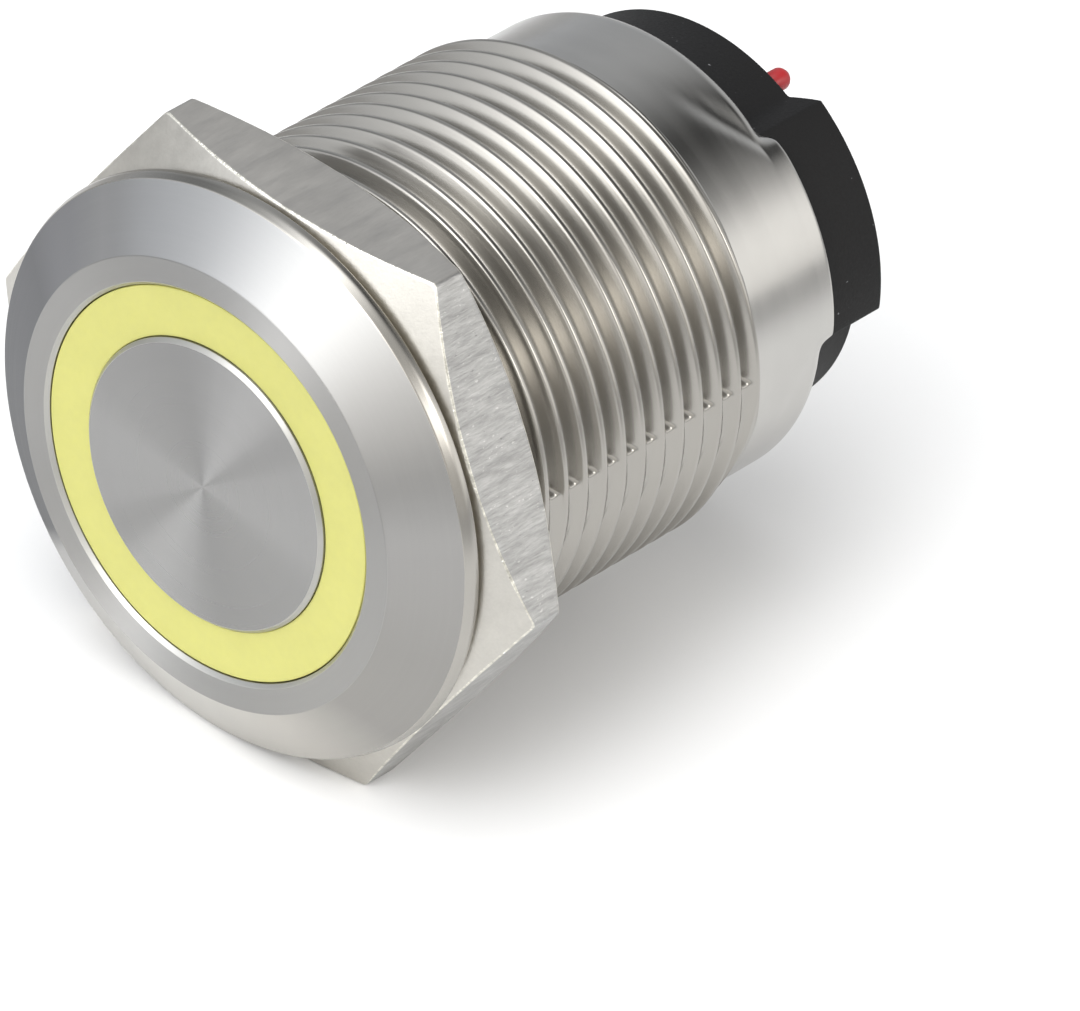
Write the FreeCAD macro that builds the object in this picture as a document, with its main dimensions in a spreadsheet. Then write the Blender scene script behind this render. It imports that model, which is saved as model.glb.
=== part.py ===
# Illuminated metal pushbutton with lock nut.
# Millimetres, +Z up. The button's axis lies along Y: the face looks along -Y,
# the terminals along +Y. The origin is the centre of the flange's seating
# plane, where the head bears on the panel. One flat of the nut faces down.
import FreeCAD, Part
import math
import os
import Sketcher

V = FreeCAD.Vector
doc = FreeCAD.newDocument("pushbutton")

# ---------------------------------------------------------------- dimensions
CELLS = [
    # head
    ("head_rad", 11.05, "outer radius of the head"),
    ("head_len", 2.07, "head, lip plane to seating plane"),
    ("lip_rad", 8.60, "outer radius of the flat lip round the bore"),
    ("bezel_bore", 7.50, "radius of the bore that shows the button"),
    ("bore_break", 0.15, "broken edge where that bore meets the lip"),
    ("bevel_rad", 10.95, "outer radius of the conical bevel"),
    ("bevel_deep", 1.46, "axial depth of the bevel"),
    ("edge_break", 0.10, "broken edge of the head's rim"),
    ("lip_thick", 1.13, "thickness of the lip that keeps the button in"),
    # barrel
    ("relief_rad", 8.95, "radius of the thread relief behind the head"),
    ("relief_end", 1.20, "end of the thread relief"),
    ("runout_end", 3.45, "where the rolled crests reach full height"),
    ("crest_rad", 9.50, "crest radius of the thread"),
    ("crest_end", 16.35, "rear end of the thread crests"),
    ("skirt_start", 16.75, "front end of the rear skirt"),
    ("skirt_rad", 8.85, "outer radius of the rear skirt"),
    ("skirt_bore", 8.45, "inner radius of the rear skirt"),
    ("skirt_bore_start", 16.60, "front end of the skirt's bore"),
    ("skirt_bend", 20.00, "where the crimped edge starts to bend in"),
    ("skirt_end", 20.92, "rear edge of the skirt beside the tabs"),
    ("bend_rad", 8.72, "outer radius part way round the bend"),
    ("bend_at", 20.40, "its place along the axis"),
    ("bend_inside", 20.11, "start of the bend on the inside"),
    ("crimp_rad", 8.02, "outer radius of the crimped edge"),
    ("crimp_end", 21.00, "rear edge of the skirt where it is crimped"),
    ("crimp_in", 7.77, "inner radius of the crimped edge"),
    ("crimp_in_end", 20.71, "place of that inner edge"),
    ("plunger_bore", 7.95, "bore that guides the plunger"),
    ("case_seat", 7.00, "step against which the inner case sits"),
    ("case_bore", 8.20, "bore that holds the inner case"),
    ("tab_arc", 58.0, "arc of skirt left straight at each tab, degrees"),
    ("key_turn", -30.0, "turn of the tabs about the axis, degrees"),
    # lock nut
    ("nut_flats", 22.00, "width across flats"),
    ("nut_front", 0.12, "front face at rest"),
    ("nut_rear", 3.42, "rear face at rest"),
    ("nut_bore", 9.55, "bore, running on the crests"),
    ("nut_mouth", 10.00, "countersink radius at the faces"),
    ("nut_sink", 0.26, "countersink depth"),
    ("nut_face_rad", 10.65, "radius where the corner chamfer starts"),
    ("nut_over", 13.20, "radius beyond the corners"),
    ("nut_fall", 1.265, "axial fall of the chamfer out to that radius"),
    # button
    ("disc_rad", 5.56, "radius of the metal disc"),
    ("disc_rise", 0.06, "how far the disc stands proud of the lip plane"),
    ("disc_break", 0.14, "chamfer of the disc's edge"),
    ("disc_thick", 1.20, "thickness of the disc"),
    ("post_rad", 1.50, "radius of the post behind the disc"),
    ("post_end", 1.80, "end of the post"),
    ("ring_in", 5.60, "inner radius of the light ring"),
    ("ring_out", 7.40, "outer radius of the light ring's face"),
    ("ring_sunk", 0.20, "how far the ring's face lies behind the lip plane"),
    ("ring_break", 0.06, "broken edge of the ring's face"),
    ("ring_step", -0.90, "front of the ring's retaining flange"),
    ("ring_flange", 7.80, "radius of the retaining flange"),
    ("ring_back", 0.22, "rear of the light ring"),
    ("boss_front", -0.85, "front of the plunger's boss behind the disc"),
    ("boss_rad", 5.48, "radius of that boss"),
    ("piston_front", 0.25, "front of the plunger's piston"),
    ("piston_rad", 7.75, "radius of the piston"),
    ("groove_front", 0.85, "front of the seal groove"),
    ("groove_back", 1.95, "rear of the seal groove"),
    ("groove_rad", 6.90, "floor radius of the seal groove"),
    ("piston_back", 2.60, "rear of the piston"),
    ("socket_rad", 1.52, "socket for the disc's post"),
    ("socket_end", 1.90, "floor of that socket"),
    ("stem_rad", 3.20, "radius of the plunger's stem"),
    ("stem_end", 9.90, "rear end of the stem"),
    ("tongue_half_x", 1.50, "half width of the contact tongue"),
    ("tongue_half_z", 0.80, "half thickness of the contact tongue"),
    ("tongue_end", 14.20, "rear end of the tongue"),
    ("seal_mean", 7.42, "mean radius of the seal"),
    ("seal_cord", 0.50, "cord radius of the seal"),
    ("seal_at", 1.40, "centre of the seal along the axis"),
    # return spring
    ("coil_mean", 4.30, "mean radius of the return spring"),
    ("coil_wire", 0.225, "wire radius"),
    ("coil_front", 2.85, "first end of the wire's centre line"),
    ("coil_back", 7.35, "last end of the wire's centre line"),
    ("coil_turns", 5.0, "turns"),
    # inner case
    ("case_rad", 8.15, "radius of the inner case"),
    ("case_back", 17.98, "rear face of the inner case"),
    ("guide_bore", 3.30, "bore that guides the stem"),
    ("seat_rad", 4.80, "radius of the spring seat"),
    ("seat_floor", 7.60, "floor of the spring seat"),
    ("chamber_front", 10.80, "front of the contact chamber"),
    ("chamber_half_x", 4.20, "half length of the contact chamber"),
    ("chamber_half_z", 2.60, "half width of the contact chamber"),
    ("pin_hole", 0.45, "hole for a lamp pin"),
    ("pin_off", 5.40, "offset of a lamp pin from the axis"),
    ("pin_rad", 0.40, "radius of a lamp pin"),
    ("pin_front", 6.00, "front end of a lamp pin"),
    ("pin_back", 26.00, "rear end of a lamp pin"),
    ("snug", 0.02, "play round a pin or strip where it is held"),
    # lamp board
    ("board_in", 4.75, "inner radius of the board"),
    ("board_out", 7.75, "outer radius of the board"),
    ("board_front", 6.20, "front face of the board"),
    ("board_back", 6.98, "rear face of the board"),
    ("lamp_at", 6.70, "radius at which the lamps sit"),
    ("lamp_long", 1.60, "length of a lamp"),
    ("lamp_wide", 0.80, "width of a lamp"),
    ("lamp_tall", 0.60, "height of a lamp"),
    ("chip_at", 6.30, "radius at which the resistor sits"),
    ("chip_tall", 0.45, "height of the resistor"),
    # base and gasket
    ("gasket_in", 6.10, "inner radius of the gasket"),
    ("gasket_out", 8.30, "outer radius of the gasket"),
    ("gasket_back", 18.40, "rear face of the gasket"),
    ("base_front", 18.00, "front of the base's raised centre"),
    ("base_centre", 6.00, "radius of the raised centre"),
    ("base_rad", 8.36, "radius of the base under the skirt"),
    ("base_bend", 20.10, "where the base narrows under the crimp"),
    ("base_neck", 20.78, "end of that narrowing"),
    ("rim_rad", 7.62, "radius of the base's rear rim"),
    ("rim_end", 23.50, "rear end of the rim"),
    ("rim_break", 0.12, "broken edge of the rim"),
    ("well_rad", 5.95, "radius of the well round the terminals"),
    ("well_floor", 22.30, "floor of the well"),
    ("lug_arc", 55.0, "arc of a locating tab, degrees"),
    ("lug_end", 24.10, "rear end of a locating tab"),
    # polarity mark
    ("mark_rad", 0.42, "radius of the polarity mark"),
    ("mark_x", 4.94, "its place across the tabs' line"),
    ("mark_z", 4.53, "its place beside the tabs' line"),
    ("mark_front", 22.45, "front end, sunk in the rim"),
    ("mark_back", 24.95, "rear end"),
    ("mark_break", 0.18, "chamfer of its end"),
    # contacts
    ("strip", 0.30, "thickness of the contact strips"),
    ("bridge_front", 13.00, "front face of the moving contact"),
    ("bridge_left", -3.70, "wiping end of the moving contact"),
    ("bridge_right", 3.40, "switching end of the moving contact"),
    ("bridge_half", 1.00, "half width of the moving contact"),
    ("wiper_front", 11.60, "front end of the wiping wing"),
    ("fixed_left", -4.05, "outer face of the common strip"),
    ("fixed_front", 11.00, "front end of the common strip"),
    ("fixed_half", 1.00, "half width of the common strip"),
    ("closed_leg", 3.70, "inner face of the normally closed strip"),
    ("closed_plate", 12.20, "front face of its contact arm"),
    ("open_leg", 3.00, "inner face of the normally open strip"),
    ("open_plate", 15.90, "front face of its contact arm"),
    ("arm_in", 1.95, "inner end of both contact arms"),
    ("leg_low", 0.90, "near edge of a switching strip"),
    ("leg_high", 2.30, "far edge of a switching strip"),
    ("arm_past", 0.70, "how far an arm passes the centre line"),
    ("pad_rad", 0.60, "radius of a contact pad"),
    ("pad_at", 2.62, "offset of the pads from the axis"),
    ("closed_pad_back", 12.97, "rear face of the normally closed pad"),
    ("open_pad_front", 15.45, "front face of the normally open pad"),
    ("solder_end", 26.80, "rear end of the solder lugs"),
    ("solder_hole", 0.42, "radius of the hole in a lug"),
    ("solder_hole_at", 25.60, "place of that hole"),
]

sheet = doc.addObject("Spreadsheet::Sheet", "dims")
for row, (alias, value, meaning) in enumerate(CELLS, start=1):
    sheet.set("A%d" % row, meaning)
    sheet.set("B%d" % row, "%g" % value)
    sheet.setAlias("B%d" % row, alias)
doc.recompute()
NUMBERS = {alias: float(value) for alias, value, _ in CELLS}


class Size:
    """A length worked out from the sheet: its number, and the expression that says it."""

    def __init__(self, value, text):
        self.value, self.text = value, text

    @staticmethod
    def of(other):
        return other if isinstance(other, Size) else Size(float(other), "(%r)" % float(other))

    def _with(self, sign, other, value):
        return Size(value, "(%s %s %s)" % (self.text, sign, other.text))

    def __add__(self, other):
        other = Size.of(other)
        return self._with("+", other, self.value + other.value)

    def __sub__(self, other):
        other = Size.of(other)
        return self._with("-", other, self.value - other.value)

    def __mul__(self, other):
        other = Size.of(other)
        return self._with("*", other, self.value * other.value)

    def __neg__(self):
        return Size(-self.value, "(0 - %s)" % self.text)


def s(alias):
    return Size(NUMBERS[alias], "dims.%s" % alias)


# ------------------------------------------------------------------- helpers
def new_body(label):
    body = doc.addObject("PartDesign::Body", label)
    body.Label = label
    return body


def plane(body, role):
    return next(f for f in body.Origin.OriginFeatures if f.Role == role)


def new_sketch(body, name, role="XY_Plane", lift=None, turn=0.0):
    """A sketch on one of its body's own planes. turn swings the XY plane about the button's axis."""
    sketch = body.newObject("Sketcher::SketchObject", name)
    sketch.AttachmentSupport = (plane(body, role), [""])
    sketch.MapMode = "FlatFace"
    sketch.AttachmentOffset = FreeCAD.Placement(
        V(0, 0, 0), FreeCAD.Rotation(V(0, 1, 0), turn)
    )
    if lift is not None:
        sketch.setExpression("AttachmentOffset.Base.z", lift.text)
    return sketch


def polygon(sketch, points, tag="p"):
    """A closed outline whose corners are held by sizes from the sheet."""
    points = [(Size.of(x), Size.of(y)) for x, y in points]
    first = sketch.GeometryCount
    n = len(points)
    for i in range(n):
        a, b = points[i], points[(i + 1) % n]
        sketch.addGeometry(
            Part.LineSegment(V(a[0].value, a[1].value, 0), V(b[0].value, b[1].value, 0)),
            False,
        )
    for i in range(n):
        sketch.addConstraint(
            Sketcher.Constraint("Coincident", first + i, 2, first + (i + 1) % n, 1)
        )
    for i, (x, y) in enumerate(points):
        for letter, size, kind, axis in (("x", x, "DistanceX", -2), ("y", y, "DistanceY", -1)):
            if abs(size.value) < 1e-9:
                sketch.addConstraint(
                    Sketcher.Constraint("PointOnObject", first + i, 1, axis)
                )
                continue
            at = sketch.addConstraint(
                Sketcher.Constraint(kind, -1, 1, first + i, 1, size.value)
            )
            name = "%s%d%s" % (tag, i, letter)
            sketch.renameConstraint(at, name)
            if "dims." in size.text:
                sketch.setExpression("Constraints." + name, size.text)


def circle(sketch, x, y, radius, tag="c"):
    x, y, radius = Size.of(x), Size.of(y), Size.of(radius)
    g = sketch.addGeometry(
        Part.Circle(V(x.value, y.value, 0), V(0, 0, 1), radius.value), False
    )
    at = sketch.addConstraint(Sketcher.Constraint("Radius", g, radius.value))
    sketch.renameConstraint(at, tag + "r")
    sketch.setExpression("Constraints." + tag + "r", radius.text)
    for letter, size, kind, axis in (("x", x, "DistanceX", -2), ("y", y, "DistanceY", -1)):
        if abs(size.value) < 1e-9:
            sketch.addConstraint(Sketcher.Constraint("PointOnObject", g, 3, axis))
            continue
        at = sketch.addConstraint(Sketcher.Constraint(kind, -1, 1, g, 3, size.value))
        sketch.renameConstraint(at, tag + letter)
        sketch.setExpression("Constraints." + tag + letter, size.text)


def rectangle(sketch, x0, x1, y0, y1, tag):
    polygon(sketch, [(x0, y0), (x1, y0), (x1, y1), (x0, y1)], tag)


def spin(body, name, points, arc=None, turn=0.0, cut=False, more=()):
    """Turns an outline (radius, place along the axis) about the button's axis."""
    sketch = new_sketch(body, name + "_outline", turn=turn)
    polygon(sketch, points)
    for k, extra in enumerate(more):
        polygon(sketch, extra, "q%d_" % k)
    doc.recompute()
    kind = "PartDesign::Groove" if cut else "PartDesign::Revolution"
    feature = body.newObject(kind, name)
    feature.Profile = sketch
    feature.ReferenceAxis = (sketch, ["V_Axis"])
    if arc is None:
        feature.Angle = 360.0
    else:
        feature.Midplane = True
        feature.setExpression("Angle", arc.text)
    doc.recompute()
    return feature


def along(body, name, start, length, draw, cut=False):
    """Pads or pockets, along +Y, what draw puts in a sketch that lies across the axis at start."""
    sketch = new_sketch(body, name + "_outline", role="XZ_Plane", lift=-start)
    draw(sketch)
    doc.recompute()
    before = body.Shape.Volume if cut else 0.0
    feature = body.newObject("PartDesign::Pocket" if cut else "PartDesign::Pad", name)
    feature.Profile = sketch
    feature.setExpression("Length", length.text)
    feature.Reversed = not cut
    doc.recompute()
    if cut and not body.Shape.Volume < before - 1e-6:
        feature.Reversed = not feature.Reversed
        doc.recompute()
        if not body.Shape.Volume < before - 1e-6:
            raise RuntimeError("%s cuts nothing" % name)
    return feature


def block(name, x0, x1, y0, y1, z0, z1):
    """A box between six sizes."""
    x0, x1, y0, y1, z0, z1 = (Size.of(q) for q in (x0, x1, y0, y1, z0, z1))
    box = doc.addObject("Part::Box", name)
    for prop, size in (
        ("Length", x1 - x0),
        ("Width", y1 - y0),
        ("Height", z1 - z0),
        ("Placement.Base.x", x0),
        ("Placement.Base.y", y0),
        ("Placement.Base.z", z0),
    ):
        box.setExpression(prop, size.text)
    return box


ALONG_Y = FreeCAD.Rotation(V(1, 0, 0), -90)


def rod(name, x, z, y0, y1, radius):
    """A round rod along +Y."""
    x, z, y0, y1, radius = (Size.of(q) for q in (x, z, y0, y1, radius))
    r = doc.addObject("Part::Cylinder", name)
    r.Placement = FreeCAD.Placement(V(0, 0, 0), ALONG_Y)
    for prop, size in (
        ("Radius", radius),
        ("Height", y1 - y0),
        ("Placement.Base.x", x),
        ("Placement.Base.y", y0),
        ("Placement.Base.z", z),
    ):
        r.setExpression(prop, size.text)
    return r


def cross_rod(name, y, z, x0, x1, radius):
    """A round rod along +X, to pierce a solder lug."""
    y, z, x0, x1, radius = (Size.of(q) for q in (y, z, x0, x1, radius))
    r = doc.addObject("Part::Cylinder", name)
    r.Placement = FreeCAD.Placement(V(0, 0, 0), FreeCAD.Rotation(V(0, 1, 0), 90))
    for prop, size in (
        ("Radius", radius),
        ("Height", x1 - x0),
        ("Placement.Base.x", x0),
        ("Placement.Base.y", y),
        ("Placement.Base.z", z),
    ):
        r.setExpression(prop, size.text)
    return r


def fuse(name, shapes):
    f = doc.addObject("Part::MultiFuse", name)
    f.Shapes = shapes
    f.Refine = True
    return f


def cut(name, base, tool):
    c = doc.addObject("Part::Cut", name)
    c.Base, c.Tool = base, tool
    return c


def keyed(obj):
    """The tabs, terminals and lamps share one turned frame about the axis."""
    if not hasattr(obj, "AddSubShape"):
        obj.Placement = FreeCAD.Placement(
            obj.Placement.Base, FreeCAD.Rotation(V(0, 1, 0), NUMBERS["key_turn"])
        )
    obj.setExpression("Placement.Rotation.Angle", "dims.key_turn * 1 deg")
    return obj


PARTS = {}


def node(name, obj):
    obj.Label = name
    PARTS[name] = obj
    return obj


lip = -s("head_len")

# ------------------------------------------------------------------ body shell
# One turned piece: head with bevelled bezel, barrel with its thread, thin skirt.
# The crests rise over the first turns behind the head, as rolled crests do.
shell = new_body("body_shell")
shoulder = lip + s("lip_thick")
spin(
    shell,
    "shell_turned",
    [
        (s("bezel_bore"), lip + s("bore_break")),
        (s("bezel_bore") + s("bore_break"), lip),
        (s("lip_rad"), lip),
        (s("bevel_rad"), lip + s("bevel_deep")),
        (s("head_rad"), lip + s("bevel_deep") + s("edge_break")),
        (s("head_rad"), -s("edge_break")),
        (s("head_rad") - s("edge_break"), 0),
        (s("relief_rad"), 0),
        (s("relief_rad"), s("relief_end")),
        (s("crest_rad"), s("runout_end")),
        (s("crest_rad"), s("crest_end")),
        (s("skirt_rad"), s("skirt_start")),
        (s("skirt_rad"), s("skirt_bend")),
        (s("skirt_bore"), s("skirt_bend")),
        (s("skirt_bore"), s("skirt_bore_start")),
        (s("case_bore"), s("skirt_bore_start")),
        (s("case_bore"), s("case_seat")),
        (s("plunger_bore"), s("case_seat")),
        (s("plunger_bore"), shoulder),
        (s("bezel_bore"), shoulder),
    ],
)
# The skirt's edge is crimped over the base on two long arcs and stays straight
# beside the base's two tabs.
crimp = [
    (s("skirt_rad"), s("skirt_bend")),
    (s("bend_rad"), s("bend_at")),
    (s("crimp_rad"), s("crimp_end")),
    (s("crimp_in"), s("crimp_in_end")),
    (s("skirt_bore"), s("bend_inside")),
    (s("skirt_bore"), s("skirt_bend")),
]
straight = [
    (s("skirt_rad"), s("skirt_bend")),
    (s("skirt_rad"), s("skirt_end")),
    (s("skirt_bore"), s("skirt_end")),
    (s("skirt_bore"), s("skirt_bend")),
]
crimp_arc = -s("tab_arc") + 180
spin(shell, "edge_straight_near", straight, arc=s("tab_arc"), turn=0)
spin(shell, "edge_straight_far", straight, arc=s("tab_arc"), turn=180)
spin(shell, "edge_crimped_upper", crimp, arc=crimp_arc, turn=-90)
spin(shell, "edge_crimped_lower", crimp, arc=crimp_arc, turn=90)
node("body_shell", keyed(shell))

# -------------------------------------------------------------------- lock nut
nut = new_body("lock_nut")
corner = s("nut_flats") * (1 / math.sqrt(3))


def hexagon(sketch):
    polygon(
        sketch,
        [
            (corner * math.cos(math.radians(60 * i)), corner * round(math.sin(math.radians(60 * i)), 12))
            if i % 3
            else (corner * (1 if i == 0 else -1), 0)
            for i in range(6)
        ],
    )


along(nut, "nut_blank", s("nut_front"), s("nut_rear") - s("nut_front"), hexagon)
spin(
    nut,
    "nut_bore_and_chamfers",
    [
        (0, s("nut_front")),
        (s("nut_mouth"), s("nut_front")),
        (s("nut_bore"), s("nut_front") + s("nut_sink")),
        (s("nut_bore"), s("nut_rear") - s("nut_sink")),
        (s("nut_mouth"), s("nut_rear")),
        (0, s("nut_rear")),
    ],
    cut=True,
    more=(
        [
            (s("nut_face_rad"), s("nut_front")),
            (s("nut_over"), s("nut_front")),
            (s("nut_over"), s("nut_front") + s("nut_fall")),
        ],
        [
            (s("nut_face_rad"), s("nut_rear")),
            (s("nut_over"), s("nut_rear") - s("nut_fall")),
            (s("nut_over"), s("nut_rear")),
        ],
    ),
)
node("lock_nut", nut)

# ---------------------------------------------------------------------- button
disc = new_body("cap_disc")
spin(
    disc,
    "disc_turned",
    [
        (0, lip - s("disc_rise")),
        (s("disc_rad") - s("disc_break"), lip - s("disc_rise")),
        (s("disc_rad"), lip - s("disc_rise") + s("disc_break")),
        (s("disc_rad"), lip + s("disc_thick")),
        (s("post_rad"), lip + s("disc_thick")),
        (s("post_rad"), s("post_end")),
        (0, s("post_end")),
    ],
)
node("cap_disc", disc)

ring = new_body("light_ring")
ring_face = lip + s("ring_sunk")
spin(
    ring,
    "ring_moulded",
    [
        (s("ring_in"), ring_face),
        (s("ring_out") - s("ring_break"), ring_face),
        (s("ring_out"), ring_face + s("ring_break")),
        (s("ring_out"), s("ring_step")),
        (s("ring_flange"), s("ring_step")),
        (s("ring_flange"), s("ring_back")),
        (s("ring_in"), s("ring_back")),
    ],
)
node("light_ring", ring)

plunger = new_body("plunger")
spin(
    plunger,
    "plunger_moulded",
    [
        (s("socket_rad"), s("boss_front")),
        (s("boss_rad"), s("boss_front")),
        (s("boss_rad"), s("piston_front")),
        (s("piston_rad"), s("piston_front")),
        (s("piston_rad"), s("groove_front")),
        (s("groove_rad"), s("groove_front")),
        (s("groove_rad"), s("groove_back")),
        (s("piston_rad"), s("groove_back")),
        (s("piston_rad"), s("piston_back")),
        (s("stem_rad"), s("piston_back")),
        (s("stem_rad"), s("stem_end")),
        (0, s("stem_end")),
        (0, s("socket_end")),
        (s("socket_rad"), s("socket_end")),
    ],
)
along(
    plunger,
    "tongue",
    s("stem_end"),
    s("tongue_end") - s("stem_end"),
    lambda k: rectangle(
        k,
        -s("tongue_half_x"),
        s("tongue_half_x"),
        -s("tongue_half_z"),
        s("tongue_half_z"),
        "r",
    ),
)
node("plunger", keyed(plunger))

seal = doc.addObject("Part::Torus", "plunger_seal")
seal.Placement = FreeCAD.Placement(V(0, 0, 0), ALONG_Y)
seal.setExpression("Radius1", s("seal_mean").text)
seal.setExpression("Radius2", s("seal_cord").text)
seal.setExpression("Placement.Base.y", s("seal_at").text)
node("plunger_seal", seal)

# Return spring: one open coil between the piston and the inner case.
rise = NUMBERS["coil_back"] - NUMBERS["coil_front"]
coil = Part.makeHelix(rise / NUMBERS["coil_turns"], rise, NUMBERS["coil_mean"])
section = Part.Wire(
    [
        Part.makeCircle(
            NUMBERS["coil_wire"],
            V(NUMBERS["coil_mean"], 0, 0),
            V(0, 2 * math.pi * NUMBERS["coil_mean"], rise / NUMBERS["coil_turns"]),
        )
    ]
)
spring_shape = Part.Wire(coil.Edges).makePipeShell([section], True, True)
spring = doc.addObject("Part::Feature", "return_spring")
spring.Shape = spring_shape
spring.Placement = FreeCAD.Placement(V(0, NUMBERS["coil_front"], 0), ALONG_Y)
node("return_spring", spring)

# ------------------------------------------------------------------ inner case
case = new_body("guide_case")
spin(
    case,
    "case_moulded",
    [
        (s("guide_bore"), s("seat_floor")),
        (s("seat_rad"), s("seat_floor")),
        (s("seat_rad"), s("case_seat")),
        (s("case_rad"), s("case_seat")),
        (s("case_rad"), s("case_back")),
        (s("guide_bore"), s("case_back")),
    ],
)
along(
    case,
    "contact_chamber",
    s("chamber_front"),
    s("case_back") - s("chamber_front"),
    lambda k: rectangle(
        k,
        -s("chamber_half_x"),
        s("chamber_half_x"),
        -s("chamber_half_z"),
        s("chamber_half_z"),
        "r",
    ),
    cut=True,
)


def two_holes(radius):
    def draw(sketch):
        circle(sketch, 0, s("pin_off"), radius, "a")
        circle(sketch, 0, -s("pin_off"), radius, "b")

    return draw


along(
    case,
    "pin_holes",
    s("case_seat"),
    s("case_back") - s("case_seat"),
    two_holes(s("pin_hole")),
    cut=True,
)
node("guide_case", keyed(case))

gasket = new_body("base_gasket")
spin(
    gasket,
    "gasket_ring",
    [
        (s("gasket_in"), s("case_back")),
        (s("gasket_out"), s("case_back")),
        (s("gasket_out"), s("gasket_back")),
        (s("gasket_in"), s("gasket_back")),
    ],
)
node("base_gasket", gasket)

# ------------------------------------------------------------------ lamp board
board = new_body("led_board")
spin(
    board,
    "board_ring",
    [
        (s("board_in"), s("board_front")),
        (s("board_out"), s("board_front")),
        (s("board_out"), s("board_back")),
        (s("board_in"), s("board_back")),
    ],
)
along(
    board,
    "board_holes",
    s("board_front"),
    s("board_back") - s("board_front"),
    two_holes(s("pin_rad") + s("snug")),
    cut=True,
)
node("led_board", keyed(board))

lamps = []
for i in range(4):
    a = math.radians(45 + 90 * i)
    lamp = block(
        "lamp_%d" % i,
        -s("lamp_wide") * 0.5,
        s("lamp_wide") * 0.5,
        s("board_front") - s("lamp_tall"),
        s("board_front"),
        -s("lamp_long") * 0.5,
        s("lamp_long") * 0.5,
    )
    mover = doc.addObject("Part::Compound", "lamp_place_%d" % i)
    mover.Links = [lamp]
    mover.Placement = FreeCAD.Placement(
        V(0, 0, 0), FreeCAD.Rotation(V(0, 1, 0), -math.degrees(a))
    )
    mover.setExpression("Placement.Base.x", (s("lamp_at") * math.cos(a)).text)
    mover.setExpression("Placement.Base.z", (s("lamp_at") * math.sin(a)).text)
    lamps.append(mover)
leds = doc.addObject("Part::Compound", "leds")
leds.Links = lamps
node("leds", keyed(leds))

resistor = block(
    "resistor_chip",
    s("chip_at") - s("lamp_wide") * 0.5,
    s("chip_at") + s("lamp_wide") * 0.5,
    s("board_front") - s("chip_tall"),
    s("board_front"),
    -s("lamp_long") * 0.5,
    s("lamp_long") * 0.5,
)
resistor_set = doc.addObject("Part::Compound", "led_resistor")
resistor_set.Links = [resistor]
node("led_resistor", keyed(resistor_set))

# ------------------------------------------------------------------------ base
base = new_body("base")
spin(
    base,
    "base_moulded",
    [
        (0, s("base_front")),
        (s("base_centre"), s("base_front")),
        (s("base_centre"), s("gasket_back")),
        (s("base_rad"), s("gasket_back")),
        (s("base_rad"), s("base_bend")),
        (s("rim_rad"), s("base_neck")),
        (s("rim_rad"), s("rim_end") - s("rim_break")),
        (s("rim_rad") - s("rim_break"), s("rim_end")),
        (s("well_rad"), s("rim_end")),
        (s("well_rad"), s("well_floor")),
        (0, s("well_floor")),
    ],
)
lug = [
    (s("well_rad"), s("base_bend")),
    (s("base_rad"), s("base_bend")),
    (s("base_rad"), s("lug_end") - s("rim_break")),
    (s("base_rad") - s("rim_break"), s("lug_end")),
    (s("well_rad"), s("lug_end")),
]
spin(base, "tab_near", lug, arc=s("lug_arc"), turn=0)
spin(base, "tab_far", lug, arc=s("lug_arc"), turn=180)


def slots(sketch):
    g = s("snug")
    rectangle(
        sketch,
        s("fixed_left") - g,
        s("fixed_left") + s("strip") + g,
        -s("fixed_half") - g,
        s("fixed_half") + g,
        "a",
    )
    rectangle(
        sketch,
        s("closed_leg") - g,
        s("closed_leg") + s("strip") + g,
        s("leg_low") - g,
        s("leg_high") + g,
        "b",
    )
    rectangle(
        sketch,
        s("open_leg") - g,
        s("open_leg") + s("strip") + g,
        -s("leg_high") - g,
        -s("leg_low") + g,
        "c",
    )
    circle(sketch, 0, s("pin_off"), s("pin_rad") + g, "d")
    circle(sketch, 0, -s("pin_off"), s("pin_rad") + g, "e")


along(
    base,
    "terminal_slots",
    s("base_front"),
    s("well_floor") - s("base_front"),
    slots,
    cut=True,
)
along(
    base,
    "mark_socket",
    s("mark_front"),
    s("rim_end") - s("mark_front"),
    lambda k: circle(k, s("mark_x"), s("mark_z"), s("mark_rad") + 0.01, "m"),
    cut=True,
)
node("base", keyed(base))

mark = doc.addObject("Part::Cylinder", "mark_rod")
mark.Placement = FreeCAD.Placement(V(0, 0, 0), ALONG_Y)
mark_cone = doc.addObject("Part::Cone", "mark_tip")
mark_cone.Placement = FreeCAD.Placement(V(0, 0, 0), ALONG_Y)
for obj, y0, y1 in (
    (mark, s("mark_front"), s("mark_back") - s("mark_break")),
    (mark_cone, s("mark_back") - s("mark_break"), s("mark_back")),
):
    obj.setExpression("Height", (y1 - y0).text)
    obj.setExpression("Placement.Base.x", s("mark_x").text)
    obj.setExpression("Placement.Base.y", y0.text)
    obj.setExpression("Placement.Base.z", s("mark_z").text)
mark.setExpression("Radius", s("mark_rad").text)
mark_cone.setExpression("Radius1", s("mark_rad").text)
mark_cone.setExpression("Radius2", (s("mark_rad") - s("mark_break")).text)
node("polarity_mark", keyed(fuse("polarity_mark", [mark, mark_cone])))

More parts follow.
